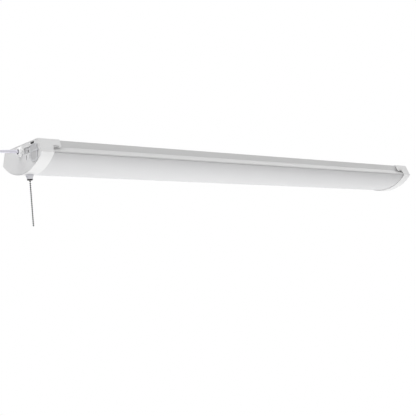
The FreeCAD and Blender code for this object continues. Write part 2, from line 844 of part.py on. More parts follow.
def make_driver():
    """The driver's open-topped case beside the first bracket, its board and its parts."""
    half, ear, t = d.driver_half, d.driver_ear, d.driver_steel
    start = bracket_places[0] + d.bracket_width / 2 + d.driver_bracket_gap + ear
    end = start + d.driver_length
    floor = d.driver_air - d.tray_drop
    height = web_under - floor
    case = new_body("driver_case")
    pad(case, "XY_Plane", floor, height, [rectangle(start, end, -half, half)])
    pocket(case, "XY_Plane", floor + t, height - t,
           [rectangle(start + t, end - t, -half + t, half - t)])
    pad(case, "XY_Plane", web_under - t, t, [rectangle(start - ear, start, -half, half)])
    pad(case, "XY_Plane", web_under - t, t, [rectangle(end, end + ear, -half, half)])
    screw_places = [(x, as_size(0.0)) for x in (start - ear / 2, end + ear / 2)]
    pocket(case, "XY_Plane", web_under - t * 2, t * 2,
           circles=[(x, y, d.screw_radius) for x, y in screw_places])

    board_low = floor + t + d.pcb_post
    inner = half - t * 2
    pcb = box("driver_pcb", start + t * 2, end - t * 2, -inner, inner,
              board_low, board_low + d.pcb_depth)
    posts = [box(f"driver_post_{k + 1}", x, x + d.pcb_post, y - d.pcb_post / 2, y + d.pcb_post / 2,
                 floor + t, board_low)
             for k, (x, y) in enumerate([(start + d.pcb_post * 2, -inner / 2),
                                         (start + d.pcb_post * 2, inner / 2),
                                         (end - d.pcb_post * 3, -inner / 2),
                                         (end - d.pcb_post * 3, inner / 2)])]
    group("driver_board", [pcb])
    group("driver_board_posts", posts)
    top = board_low + d.pcb_depth
    room = web_under - d.driver_steel - top
    reach = room * 2
    parts = [box("driver_transformer", start + d.driver_length / 2,
                 start + d.driver_length / 2 + reach, -room, room, top, top + room),
             box("driver_choke", start + d.driver_length / 4,
                 start + d.driver_length / 4 + room, -room, 0 * room, top, top + room * 0.8)]
    capacitor_shares = (0.15, 0.75, 0.85)      # of the way along the board
    for k, share in enumerate(capacitor_shares):
        parts.append(primitive("Cylinder", f"driver_capacitor_{k + 1}",
                               (start + d.driver_length * share, room / 2, top),
                               Radius=room * 0.4, Height=room * 0.9))
    group("driver_components", parts)
    return screw_places, start, end


driver_screw_places, driver_start, driver_end = make_driver()


driver_screws = []
for k, (x, y) in enumerate(driver_screw_places):
    # a hex-head sheet-metal screw; its head bears on the ear from below
    screw = doc.addObject("PartDesign::Body", f"driver_screw_{k + 1}")
    ear_under = web_under - d.driver_steel
    pad(screw, "XY_Plane", ear_under - d.screw_head_depth, d.screw_head_depth,
        [hexagon(x, y, d.screw_head_across)])
    pad(screw, "XY_Plane", ear_under, d.driver_steel, circles=[(x, y, d.screw_radius)])
    driver_screws.append(screw)
group("driver_screws", driver_screws)


# ---------------------------------------------------------------- cord gland

cord_radius = d.cord_diameter / 2
mouth = cord_radius + d.gland_mouth_play
shell = d.gland_mouth_play
gland = new_body("cord_gland")
revolve(gland, "XZ_Plane", [
    (-d.gland_proud, mouth),
    (-d.gland_proud, mouth + shell),
    (-d.gland_shoulder, d.gland_radius - d.gland_crown),
    (as_size(0.0), d.gland_radius),
    (as_size(0.0), d.gland_barrel),
    (d.plate_depth + d.gland_nut_depth, d.gland_barrel),
    (d.gland_inner_length, d.gland_tail_radius),
    (d.gland_inner_length, cord_radius),
    (-d.gland_proud + d.gland_mouth_depth, cord_radius),
    (-d.gland_proud + d.gland_mouth_depth, mouth),
], "H_Axis")
place(gland, left_face, d.gland_side, -d.gland_drop)

gland_nut = new_body("gland_lock_nut")
pad(gland_nut, "YZ_Plane", left_face + d.plate_depth, d.gland_nut_depth,
    [hexagon(d.gland_side, -d.gland_drop, d.gland_nut_radius * 2)],
    [(d.gland_side, -d.gland_drop, d.gland_barrel)])

cord_start = left_face - d.gland_proud + d.gland_mouth_depth
tail = primitive("Cylinder", "cord_tail_rod", (cord_start, d.gland_side, -d.gland_drop), ALONG_X,
                 Radius=cord_radius, Height=d.gland_proud - d.gland_mouth_depth
                 + d.cord_tail_length)
group("cord_tail", [tail])


# ---------------------------------------------------------------- cord, coil and tie

def fillet_path(points):
    """Straight runs joined by tangent arcs, each as large as its two runs allow."""
    edges = []
    radii = []
    start = points[0]
    for k in range(1, len(points) - 1):
        before, here, after = points[k - 1], points[k], points[k + 1]
        back, ahead = before - here, after - here
        shorter = min(back.Length, ahead.Length)
        turn = math.pi - back.getAngle(ahead)
        reach = 0.45 * shorter
        radii.append(reach / math.tan(turn / 2))
        back.normalize()
        ahead.normalize()
        first, last = here + back * reach, here + ahead * reach
        middle_way = (back + ahead).normalize()
        centre = here + middle_way * math.hypot(reach, radii[-1])
        edges.append(Part.LineSegment(start, first).toShape())
        edges.append(Part.Arc(first, centre - middle_way * radii[-1], last).toShape())
        start = last
    edges.append(Part.LineSegment(start, points[-1]).toShape())
    return Part.Wire(edges), radii


def corners_across(at, direction, radius, sides):
    """Corners of a regular section of the given circumradius, square to the direction."""
    direction = FreeCAD.Vector(*direction).normalize()
    side = direction.cross(FreeCAD.Vector(1, 0, 0))
    if side.Length < 0.5:
        side = direction.cross(FreeCAD.Vector(0, 1, 0))
    side.normalize()
    up = direction.cross(side)
    angles = [2 * math.pi * (k + 0.5) / sides for k in range(sides)]
    return [at + side * (radius * math.cos(a)) + up * (radius * math.sin(a)) for a in angles]


def tube(path, radius, sides):
    """A closed solid along a wire of runs and arcs, with a section of a few flat sides."""
    first = path.Edges[0]
    corners = corners_across(first.valueAt(first.FirstParameter),
                             first.tangentAt(first.FirstParameter), radius, sides)
    shell = Part.BRepOffsetAPI.MakePipeShell(path)
    shell.add(Part.makePolygon(corners + corners[:1]), False, False)
    shell.build()
    shell.makeSolid()
    return shell.shape()


def section_share(sides):
    """A regular section's area as a share of the circle round its corners."""
    return sides / 2 * math.sin(2 * math.pi / sides) / math.pi


def faceted(rings):
    """A closed solid of flat facets through rings of corners."""
    faces = [Part.Face(Part.makePolygon(ring + ring[:1])) for ring in (rings[0], rings[-1])]
    for low, high in zip(rings, rings[1:]):
        for k in range(len(low)):
            after = (k + 1) % len(low)
            corners = [low[k], low[after], high[after], high[k], low[k]]
            faces.append(Part.Face(Part.makePolygon(corners)))
    solid = Part.Solid(Part.Shell(faces))
    if solid.Volume < 0:
        solid.reverse()
    return solid


# offsets from the cord's start in the gland's mouth: straight out, then down
cord_offsets = [
    (0.0, 0.0, 0.0),
    (-28.5, 0.0, 0.0),
    (-59.0, 0.4, -3.1),
    (-83.0, 1.0, -20.6),
    (-90.5, 1.5, -49.6),
    (-90.5, 1.5, -77.6),
]
cord_from = FreeCAD.Vector(cord_start.value, d.gland_side.value, -d.gland_drop.value)
cord_points = [cord_from + FreeCAD.Vector(*offset) for offset in cord_offsets]
cord_wire, cord_radii = fillet_path(cord_points)
cord_sides = 8
cord_solid = tube(cord_wire, cord_radius.value, cord_sides)
add_shape("power_cord", cord_solid)
print("cord arc radii, mm:", [round(r, 1) for r in cord_radii])
print("cord volume against section x length:",
      round(cord_solid.Volume / (section_share(cord_sides) * math.pi * cord_radius.value ** 2
                                 * cord_wire.Length), 4))

turns_in = 3                     # turns that wind inwards, and as many outwards
pitch = d.coil_pitch.value
inner = d.coil_inner_radius.value
outer = inner + turns_in * pitch
coil_start = cord_points[-1]
plug_side = d.cord_diameter.value / 2 + d.plug_depth.value / 2 + d.gland_mouth_play.value
coil_centre_y = coil_start.y + outer


def eased(share):
    share = min(max(share, 0.0), 1.0)
    return share * share * (3 - 2 * share)


def coil_at(turn):
    """A point of the coil; it hangs in a plane across the light, wound in two layers."""
    radius = inner + pitch * abs(turn - turns_in)
    climb = pitch * eased((turn - turns_in + 0.25) * 2)
    climb += plug_side * eased((turn - 2 * turns_in + 0.5) * 2)
    angle = 2 * math.pi * turn
    return FreeCAD.Vector(coil_start.x - climb,
                          coil_centre_y - radius * math.cos(angle),
                          coil_start.z - radius * math.sin(angle))


def coil_direction(turn):
    """The coil's direction; at its ends and where it reverses it has no inward part."""
    nudge = 1e-4
    rate = (coil_at(turn + nudge) - coil_at(turn - nudge)) / (2 * nudge)
    if turn in (0, 2 * turns_in):
        return FreeCAD.Vector(0, 0, -1)
    if turn == turns_in:
        return FreeCAD.Vector(rate.x, 0, -2 * math.pi * inner).normalize()
    return rate.normalize()


def arc_from(start, direction, end):
    """The arc that leaves start in a direction and reaches end."""
    chord = end - start
    inward = chord - direction * chord.dot(direction)
    if inward.Length < 1e-9:
        return Part.LineSegment(start, end).toShape()
    inward.normalize()
    radius = chord.Length ** 2 / (2 * chord.dot(inward))
    centre = start + inward * radius
    halfway = ((start - centre) + (end - centre)).normalize()
    return Part.Arc(start, centre + halfway * radius, end).toShape()


def biarc(start, out, end, into):
    """Two arcs that join two points and keep both directions."""
    v = end - start
    t = out + into
    spread = 2 * (1 - out.dot(into))
    reach = (-v.dot(t) + math.sqrt(v.dot(t) ** 2 + spread * v.dot(v))) / spread
    joint = (start + end + (out - into) * reach) * 0.5
    first = arc_from(start, out, joint)
    second = arc_from(end, into * -1, joint)
    return [first, second]


coil_edges = []
for half_turn in range(4 * turns_in):
    a, b = half_turn / 2, (half_turn + 1) / 2
    coil_edges += biarc(coil_at(a), coil_direction(a), coil_at(b), coil_direction(b))
coil_end = coil_at(2 * turns_in)
straight_end = coil_end + FreeCAD.Vector(0, 0, -d.cord_diameter.value)
coil_edges.append(Part.LineSegment(coil_end, straight_end).toShape())
coil_wire = Part.Wire(coil_edges)
coil_sides = 8
coil_solid = tube(coil_wire, cord_radius.value, coil_sides)
add_shape("cord_coil", coil_solid)


def least_self_gap(wire, count, apart):
    """Least distance between the tube's surface and itself, from points along its middle."""
    points = wire.discretize(count)
    step = wire.Length / (count - 1)
    skip = int(apart / step)
    least = min((points[i] - points[j]).Length
                for i in range(count) for j in range(i + skip, count))
    return least - d.cord_diameter.value


print("coil least gap to itself, mm:",
      round(least_self_gap(coil_wire, 1200, 8 * d.cord_diameter.value), 2))
print("coil volume against section x length:",
      round(coil_solid.Volume / (section_share(coil_sides) * math.pi * cord_radius.value ** 2
                                 * coil_wire.Length), 4))
print("cord length, free and coiled, mm:", round(cord_wire.Length, 1), round(coil_wire.Length, 1))

# the tie goes round the bundle at the coil's far side
bundle_near = inner + pitch / 2 - cord_radius.value
bundle_far = outer - pitch / 2 + cord_radius.value
bite = d.tie_bite.value
tie_y0 = coil_centre_y + bundle_near + bite
tie_y1 = coil_centre_y + bundle_far - bite
tie_x0 = coil_start.x - pitch - cord_radius.value + bite
tie_x1 = coil_start.x + cord_radius.value - bite
thick = d.tie_depth.value
half_tie = d.tie_width.value / 2
tie_outer = Part.makeBox(tie_x1 - tie_x0 + 2 * thick, tie_y1 - tie_y0 + 2 * thick, 2 * half_tie,
                         FreeCAD.Vector(tie_x0 - thick, tie_y0 - thick, coil_start.z - half_tie))
tie_inner = Part.makeBox(tie_x1 - tie_x0, tie_y1 - tie_y0, 2 * half_tie,
                         FreeCAD.Vector(tie_x0, tie_y0, coil_start.z - half_tie))
add_shape("cord_tie", tie_outer.makeFillet(thick, [e for e in tie_outer.Edges
                                                    if abs(e.tangentAt(0).z) > 0.9]).cut(tie_inner))


# ---------------------------------------------------------------- plug

plug_top = straight_end
plug = new_body("plug_body")
grip_low = -d.plug_length
half_x, half_y = d.plug_depth / 2, d.plug_width / 2
corner = d.plug_depth / 4
pad(plug, "XY_Plane", grip_low, d.plug_length - d.plug_relief, [[
    (-half_x + corner, -half_y),
    (half_x - corner, -half_y, corner, 1),
    (half_x, -half_y + corner),
    (half_x, half_y - corner, corner, 1),
    (half_x - corner, half_y),
    (-half_x + corner, half_y, corner, 1),
    (-half_x, half_y - corner),
    (-half_x, -half_y + corner, corner, 1),
]])
revolve(plug, "XZ_Plane", [
    (as_size(0.0), -d.plug_relief - corner / 2),
    (half_x - corner / 2, -d.plug_relief - corner / 2),
    (d.plug_neck_radius, -d.plug_relief / 2),
    (cord_radius, as_size(0.0)),
    (as_size(0.0), as_size(0.0)),
], "V_Axis")
plug.Placement = FreeCAD.Placement(plug_top, FreeCAD.Rotation())

blades = []
for k, side in enumerate((-1, 1)):
    middle = d.blade_spacing * side / 2 - d.blade_thick / 2
    blade = box(f"plug_blade_{k + 1}", plug_top.x + middle, plug_top.x + middle + d.blade_thick,
                plug_top.y + d.blade_offset - d.blade_width / 2,
                plug_top.y + d.blade_offset + d.blade_width / 2,
                plug_top.z + grip_low - d.blade_length, plug_top.z + grip_low)
    blades.append(blade)
group("plug_blades", blades)
group("plug_ground_pin", [primitive(
    "Cylinder", "plug_pin_rod",
    (plug_top.x, plug_top.y + d.blade_offset - d.ground_rise, plug_top.z + grip_low - d.pin_length),
    Radius=d.pin_radius, Height=d.pin_length)])


# ---------------------------------------------------------------- pull switch

# the switch stands on its lock nut, its lid clear of the gland's nut above
nut_low = -d.cap_bottom_drop + d.cap_wall + d.nut_washer_gap
switch_low = nut_low + d.nut_depth
switch_lid = -d.gland_drop - d.gland_nut_radius - d.switch_gland_gap
switch_top = switch_lid - d.switch_wall
neck_low = switch_low - d.neck_length
neck_bore = d.plunger_radius * 2 / math.sqrt(3) + d.plunger_play

nut = new_body("switch_lock_nut")
pad(nut, "XY_Plane", nut_low, d.nut_depth, [hexagon(chain_x, as_size(0.0), d.nut_across)],
    [(chain_x, 0.0, d.neck_radius)])

neck = new_body("switch_neck")
pad(neck, "XY_Plane", neck_low, switch_low - neck_low,
    circles=[(chain_x, 0.0, d.neck_radius), (chain_x, 0.0, neck_bore)])

switch = new_body("switch_body")
wide, wall = d.switch_half_length, d.switch_wall
deep = d.outlet_near + (d.seam_gap - d.outlet_rear_margin) / 2 - d.switch_outlet_gap
pad(switch, "XY_Plane", switch_low, switch_top - switch_low,
    [rectangle(chain_x - wide, chain_x + wide, -deep, deep)])
pocket(switch, "XY_Plane", switch_low + wall, switch_top - switch_low - wall,
       [rectangle(chain_x - wide + wall, chain_x + wide - wall, -deep + wall, deep - wall)])
pocket(switch, "XY_Plane", switch_low, wall, circles=[(chain_x, 0.0, neck_bore)])
switch_cover = new_body("switch_cover")
pad(switch_cover, "XY_Plane", switch_top, wall,
    [rectangle(chain_x - wide, chain_x + wide, -deep, deep)])

head_top = switch_top - d.cover_gap
head_low = head_top - d.plunger_head_depth
plunger_low = neck_low + d.plunger_recess
plunger = new_body("switch_plunger")
pad(plunger, "XY_Plane", head_low, d.plunger_head_depth,
    [hexagon(chain_x, as_size(0.0), (deep - wall - d.plunger_head_play) * 2)])
pad(plunger, "XY_Plane", plunger_low, head_low - plunger_low,
    [hexagon(chain_x, as_size(0.0), d.plunger_radius * 2)])
spring = new_body("switch_spring")
pad(spring, "XY_Plane", switch_low + wall, head_low - switch_low - wall,
    [hexagon(chain_x, as_size(0.0), (d.spring_radius + d.spring_wire) * 2),
     hexagon(chain_x, as_size(0.0), (d.spring_radius - d.spring_wire) * 2)])

bell_top = -d.cap_bottom_drop
collar_low = bell_top - d.bell_flat_depth
bell_low = bell_top - d.bell_height
bell = new_body("chain_bell")
pad(bell, "XY_Plane", collar_low, d.bell_flat_depth,
    [hexagon(as_size(0.0), as_size(0.0), d.bell_flats)], [(0.0, 0.0, d.neck_radius)])
revolve(bell, "XZ_Plane", [
    (d.neck_radius, collar_low),
    (d.bell_top_radius, collar_low),
    (d.bell_rim_radius, bell_low + d.steel),
    (d.bell_rim_radius, bell_low),
    (d.bell_mouth_radius, bell_low),
    (d.bell_throat_radius, neck_low - d.cover_gap),
    (d.neck_radius, neck_low - d.cover_gap),
], "V_Axis")
place(bell, chain_x)


# ---------------------------------------------------------------- bead chain

bead = d.bead_radius.value
chain_pitch = d.bead_pitch.value
chain_line = FreeCAD.Vector(chain_x.value, 0, 0)
first_drop = (d.cap_bottom_drop + d.bell_height + d.bead_hang).value
shown, upper = int(d.beads_shown.value), int(d.beads_upper.value)
bead_sides = 8
bead_flat = bead * math.sin(math.radians(d.bead_flat_angle.value))
link_play = bead + d.hinge_play.value * 2


def bead_height(number):
    """Bead 0 is the first below the bell; -1 hangs in its mouth."""
    return -first_drop - chain_pitch * number


def ring_of(radius, height, sides):
    """A level ring of corners about the chain's line."""
    steps = [2 * math.pi * k / sides for k in range(sides)]
    return [chain_line + FreeCAD.Vector(radius * math.cos(a), radius * math.sin(a), height)
            for a in steps]


def make_bead(number):
    """A bead with a small flat at each pole, where its links come out."""
    rings = []
    for share in (-1, -0.36, 0.36, 1):
        angle = math.radians(d.bead_flat_angle.value) * share
        rings.append(ring_of(bead * math.cos(angle), bead_height(number) + bead * math.sin(angle),
                             bead_sides))
    return faceted(rings)


def make_link(high, low):
    return faceted([ring_of(d.link_radius.value, height, 6) for height in (low, high)])


def make_links(first, last, clear_top, clear_end):
    """Wire links from above bead first down to bead last, clear of a pivot at either end."""
    links = []
    for number in range(first, last):
        at_top = number == first and clear_top
        at_end = number == last - 1 and clear_end
        high = bead_height(number) - (link_play if at_top else bead_flat)
        low = bead_height(number + 1) + (link_play if at_end else bead_flat)
        links.append(make_link(high, low))
    return links


add_shape("chain_stub", make_link(plunger_low.value, bead_height(-1) + link_play))
add_shape("chain_top_bead", make_bead(-1))
add_shape("chain_upper_beads", Part.makeCompound([make_bead(k) for k in range(upper)]))
add_shape("chain_upper_links", Part.makeCompound(make_links(-1, upper, True, True)))
add_shape("chain_lower_beads", Part.makeCompound([make_bead(k) for k in range(upper, shown)]))
add_shape("chain_lower_links", Part.makeCompound(make_links(upper, shown - 1, False, False)))


# ---------------------------------------------------------------- inner wires

def vector(x, y, z):
    return FreeCAD.Vector(as_size(x).value, as_size(y).value, as_size(z).value)


def mitred_rod(points, radius, sides):
    """A faceted rod along straight runs, mitred where they meet."""
    runs = [(b - a).normalize() for a, b in zip(points, points[1:])]
    rings = [corners_across(points[0], runs[0], radius, sides)]
    for k, along in enumerate(runs):
        mitre = along + runs[k + 1] if k + 1 < len(runs) else along
        there = points[k + 1]
        rings.append([corner + along * ((there - corner).dot(mitre) / along.dot(mitre))
                      for corner in rings[-1]])
    return faceted(rings)


def wires(label, routes):
    """Insulated wires, bent sharply at their corners."""
    add_shape(label, Part.makeCompound([mitred_rod(route, d.wire_radius.value, 6)
                                        for route in routes]))


tail_end = left_face + d.cord_tail_length
wire = d.wire_radius
shelf = -d.tray_drop / 2 + d.driver_steel * 2          # the height at which leads enter the driver
upper_side = d.gland_side + wire * 1.5
lower_side = d.gland_side - wire * 1.5
return_side = -d.gland_side * 2
bend = wire * 5
slack = driver_start - d.wire_slack
wires("supply_leads", [
    # neutral, from the cord to the driver
    [vector(tail_end, upper_side, -d.gland_drop),
     vector(tail_end + d.wire_straight, upper_side, -d.gland_drop),
     vector(tail_end + d.wire_straight + d.wire_slack, upper_side + d.wire_rise, shelf),
     vector(slack, upper_side + wire * 3, shelf),
     vector(driver_start, upper_side + wire * 3, shelf)],
    # line, from the cord back into the switch
    [vector(tail_end, lower_side, -d.gland_drop),
     vector(tail_end + bend, lower_side, -d.gland_drop),
     vector(tail_end + bend, lower_side, -d.gland_drop - d.wire_drop),
     vector(chain_x + wire * 3, lower_side, -d.gland_drop - d.wire_drop),
     vector(chain_x + wire * 3, lower_side, switch_lid)],
    # switched line, from the switch to the driver
    [vector(chain_x + wire * 2, return_side, switch_lid),
     vector(chain_x + wire * 2, return_side, switch_lid + d.wire_drop),
     vector(tail_end + bend * 2, return_side, shelf - wire * 5),
     vector(tail_end + d.wire_slack, return_side, shelf),
     vector(driver_start, return_side, shelf)],
])
outlet_back = left_face + d.outlet_depth
wires("outlet_leads", [
    [vector(outlet_back, -outlet_mid - side, shelf),
     vector(outlet_back + d.wire_straight, -outlet_mid - side, shelf),
     vector(outlet_back + d.wire_straight + d.wire_slack, -outlet_mid - side + d.wire_rise, shelf),
     vector(slack, -outlet_mid - side + d.wire_drop, shelf),
     vector(driver_start, -outlet_mid - side + d.wire_drop, shelf)]
    for side in (d.blade_spacing / 4, -d.blade_spacing / 4)])
tray_lie = -d.tray_drop + wire                        # a lead's middle where it lies on the tray
wires("led_leads", [
    [vector(driver_end, side, shelf),
     vector(driver_end + d.wire_straight, side, shelf),
     vector(driver_end + d.wire_straight * 2, side * 1.5, tray_lie),
     vector(driver_end + d.wire_straight * 3, side * 1.5, tray_lie)]
    for side in (d.led_wire_side, -d.led_wire_side)])


# ---------------------------------------------------------------- checks and files

doc.recompute()
for thing in doc.Objects:
    if any(word in thing.State for word in ("Invalid", "Error")):
        raise ValueError(f"{thing.Label} failed: {thing.State}")

os.makedirs("parts", exist_ok=True)
for piece in finished:
    if piece.Shape.isNull() or not piece.Shape.isValid() or not piece.Shape.Solids:
        raise ValueError(f"{piece.Label} has no valid solid")
    piece.Shape.exportStep(f"parts/{piece.Label}.step")
print("sub-parts:", len(finished), "solids:", sum(len(p.Shape.Solids) for p in finished))
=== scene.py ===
import json
import math

import bmesh
import bpy
from mathutils import Matrix, Vector


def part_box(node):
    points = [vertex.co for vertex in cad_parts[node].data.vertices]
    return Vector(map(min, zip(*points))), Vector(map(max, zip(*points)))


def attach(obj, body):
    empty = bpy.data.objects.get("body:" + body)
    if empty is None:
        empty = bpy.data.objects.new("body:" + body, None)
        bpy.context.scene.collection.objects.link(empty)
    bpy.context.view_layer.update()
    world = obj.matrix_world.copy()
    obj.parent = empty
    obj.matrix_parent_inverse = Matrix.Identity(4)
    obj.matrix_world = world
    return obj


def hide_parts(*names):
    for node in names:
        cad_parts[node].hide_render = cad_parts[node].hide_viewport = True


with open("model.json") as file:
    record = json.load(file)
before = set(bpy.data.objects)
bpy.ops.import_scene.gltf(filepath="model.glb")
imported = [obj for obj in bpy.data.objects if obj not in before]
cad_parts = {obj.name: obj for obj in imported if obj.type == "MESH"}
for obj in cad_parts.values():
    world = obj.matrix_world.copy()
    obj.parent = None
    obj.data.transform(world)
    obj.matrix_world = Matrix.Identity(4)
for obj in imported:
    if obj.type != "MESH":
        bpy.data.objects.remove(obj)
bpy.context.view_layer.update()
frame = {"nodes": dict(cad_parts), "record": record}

# Linkable LED shop light: white steel channel, frosted lens, moulded end caps,
# pull-chain switch, link outlet with a swinging cover, and its supply cord.

mm = 0.001


# small helpers

def linear(hexCode):  # sRGB hex to linear RGBA
    values = [int(hexCode[k:k + 2], 16) / 255 for k in (1, 3, 5)]
    return [v / 12.92 if v <= 0.04045 else ((v + 0.055) / 1.055) ** 2.4 for v in values] + [1.0]


def addNode(tree, kind, inputs=None, **settings):  # a socket as a value is linked, the rest is set
    node = tree.nodes.new(kind)
    for key, value in settings.items():
        setattr(node, key, value)
    for key, value in (inputs or {}).items():
        if isinstance(value, bpy.types.NodeSocket):
            tree.links.new(value, node.inputs[key])
        else:
            node.inputs[key].default_value = value
    return node


def startMaterial(name):
    material = bpy.data.materials.new(name)
    material.use_nodes = True
    material.node_tree.nodes.clear()
    return material, material.node_tree


def bodyOf(node):
    for body, nodes in frame["record"]["behaviour"]["bodies"].items():
        if node in nodes:
            return body


def finishPiece(piece, slotName, nodes, *materials):  # the piece stands for its CAD nodes
    for material in materials:
        piece.data.materials.append(material)
    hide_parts(*nodes)
    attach(piece, bodyOf(nodes[0]))


def meshPiece(name, bm, sharpAngle=35):  # smooth faces that keep their flats, sharp past the angle
    for face in bm.faces:
        face.smooth = True
    for edge in bm.edges:
        if len(edge.link_faces) == 2:
            edge.smooth = edge.calc_face_angle(0) < math.radians(sharpAngle)
    mesh = bpy.data.meshes.new(name)
    bm.to_mesh(mesh)
    bm.free()
    piece = bpy.data.objects.new(name, mesh)
    bpy.context.scene.collection.objects.link(piece)
    flats = piece.modifiers.new("keepFlats", "WEIGHTED_NORMAL")
    flats.keep_sharp = True
    return piece


# materials

enamelLook = {"colour": "#d5d5d5", "shade": "#cecece", "cloudScale": 9.0, "orangePeelMm": 1.6,
              "peelBump": 0.12, "roughness": 0.36, "coat": 0.25, "coatRoughness": 0.18}


def bakedEnamel():  # powder coat baked on steel: a soft even gloss with a faint orange peel
    material, tree = startMaterial("whiteBakedEnamel")
    place = addNode(tree, "ShaderNodeTexCoord")
    peel = addNode(tree, "ShaderNodeTexNoise", {
        "Vector": place.outputs["Object"], "Scale": 1000 / enamelLook["orangePeelMm"],
        "Detail": 2.0, "Roughness": 0.45})
    cloud = addNode(tree, "ShaderNodeTexNoise", {
        "Vector": place.outputs["Object"], "Scale": enamelLook["cloudScale"], "Detail": 3.0})
    tone = addNode(tree, "ShaderNodeMix", {
        "Factor": cloud.outputs["Fac"], "A": linear(enamelLook["colour"]),
        "B": linear(enamelLook["shade"])}, data_type="RGBA")
    bump = addNode(tree, "ShaderNodeBump", {
        "Height": peel.outputs["Fac"], "Strength": enamelLook["peelBump"], "Distance": 0.06 * mm})
    body = addNode(tree, "ShaderNodeBsdfPrincipled", {
        "Base Color": tone.outputs[2], "Roughness": enamelLook["roughness"],
        "Coat Weight": enamelLook["coat"], "Coat Roughness": enamelLook["coatRoughness"],
        "Normal": bump.outputs["Normal"]})
    addNode(tree, "ShaderNodeOutputMaterial", {"Surface": body.outputs["BSDF"]})
    return material


mouldingLook = {"grainMm": 0.9, "grainBump": 0.18, "flowScale": 22.0}


def mouldedAbs(name="satinWhiteAbs", light="#e3e3e3", dark="#dcdcdc", roughness=0.42):
    # injection-moulded ABS from a finely eroded tool: satin, with a fine even grain
    material, tree = startMaterial(name)
    place = addNode(tree, "ShaderNodeTexCoord")
    grain = addNode(tree, "ShaderNodeTexNoise", {
        "Vector": place.outputs["Object"], "Scale": 1000 / mouldingLook["grainMm"],
        "Detail": 1.5})
    flow = addNode(tree, "ShaderNodeTexNoise", {
        "Vector": place.outputs["Object"], "Scale": mouldingLook["flowScale"], "Detail": 2.0})
    tone = addNode(tree, "ShaderNodeMix", {
        "Factor": flow.outputs["Fac"], "A": linear(light), "B": linear(dark)},
        data_type="RGBA")
    gloss = addNode(tree, "ShaderNodeMapRange", {
        "Value": flow.outputs["Fac"], "To Min": roughness - 0.04, "To Max": roughness + 0.05})
    bump = addNode(tree, "ShaderNodeBump", {
        "Height": grain.outputs["Fac"], "Strength": mouldingLook["grainBump"],
        "Distance": 0.05 * mm})
    body = addNode(tree, "ShaderNodeBsdfPrincipled", {
        "Base Color": tone.outputs[2], "Roughness": gloss.outputs["Result"],
        "IOR": 1.53, "Normal": bump.outputs["Normal"]})
    addNode(tree, "ShaderNodeOutputMaterial", {"Surface": body.outputs["BSDF"]})
    return material


lensLook = {"topZ": -29.0, "crownZ": -57.0, "paintedShadeByLip": "#bebebf", "crown": "#d2d2d3",
            "drawScale": 240.0, "frostMm": 0.7, "bump": 0.08, "roughness": 0.5,
            "milk": 0.15, "milkReachMm": 4.0}


def frostedLens():
    # extruded polycarbonate with a diffusing filler: milky, with long faint draw lines about
    # 4 mm apart; painted shade: the base colour is darker beside the lip, standing in for the dark
    # inside of the channel showing through
    material, tree = startMaterial("frostedPolycarbonate")
    place = addNode(tree, "ShaderNodeTexCoord")
    along = addNode(tree, "ShaderNodeMapping", {
        "Vector": place.outputs["Object"], "Scale": (0.6, 1.0, 1.0)})
    lines = addNode(tree, "ShaderNodeTexNoise", {
        "Vector": along.outputs["Vector"], "Scale": lensLook["drawScale"], "Detail": 2.0})
    frost = addNode(tree, "ShaderNodeTexNoise", {
        "Vector": place.outputs["Object"], "Scale": 1000 / lensLook["frostMm"], "Detail": 1.0})
    height = addNode(tree, "ShaderNodeMath", {
        0: lines.outputs["Fac"], 1: frost.outputs["Fac"]}, operation="ADD")
    bump = addNode(tree, "ShaderNodeBump", {
        "Height": height.outputs["Value"], "Strength": lensLook["bump"], "Distance": 0.05 * mm})
    # painted shade: by height, the colour runs from the shaded tone at the lip to the crown's tone
    parts = addNode(tree, "ShaderNodeSeparateXYZ", {"Vector": place.outputs["Object"]})
    shadeFromLip = addNode(tree, "ShaderNodeMapRange", {
        "Value": parts.outputs["Z"], "From Min": lensLook["topZ"] * mm,
        "From Max": lensLook["crownZ"] * mm})
    tone = addNode(tree, "ShaderNodeMix", {
        "Factor": shadeFromLip.outputs["Result"], "A": linear(lensLook["paintedShadeByLip"]),
        "B": linear(lensLook["crown"])}, data_type="RGBA")
    body = addNode(tree, "ShaderNodeBsdfPrincipled", {
        "Base Color": tone.outputs[2], "Roughness": lensLook["roughness"], "IOR": 1.58,
        "Subsurface Weight": lensLook["milk"],
        "Subsurface Radius": (lensLook["milkReachMm"] * mm,) * 3,
        "Subsurface Scale": 1.0, "Normal": bump.outputs["Normal"]})
    addNode(tree, "ShaderNodeOutputMaterial", {"Surface": body.outputs["BSDF"]})
    return material


jacketLook = {"colour": "#e2e0ea", "shade": "#d9d7e2", "swellScale": 260.0, "swellBump": 0.15,
              "roughness": 0.48, "sheen": 0.05}


def cordPvc():  # extruded flexible PVC: soft sheen and a faint unevenness of the jacket
    material, tree = startMaterial("softWhitePvc")
    place = addNode(tree, "ShaderNodeTexCoord")
    swell = addNode(tree, "ShaderNodeTexNoise", {
        "Vector": place.outputs["Object"], "Scale": jacketLook["swellScale"], "Detail": 2.0})
    tone = addNode(tree, "ShaderNodeMix", {
        "Factor": swell.outputs["Fac"], "A": linear(jacketLook["colour"]),
        "B": linear(jacketLook["shade"])}, data_type="RGBA")
    bump = addNode(tree, "ShaderNodeBump", {
        "Height": swell.outputs["Fac"], "Strength": jacketLook["swellBump"], "Distance": 0.1 * mm})
    body = addNode(tree, "ShaderNodeBsdfPrincipled", {
        "Base Color": tone.outputs[2], "Roughness": jacketLook["roughness"], "IOR": 1.52,
        "Sheen Weight": jacketLook["sheen"], "Normal": bump.outputs["Normal"]})
    addNode(tree, "ShaderNodeOutputMaterial", {"Surface": body.outputs["BSDF"]})
    return material


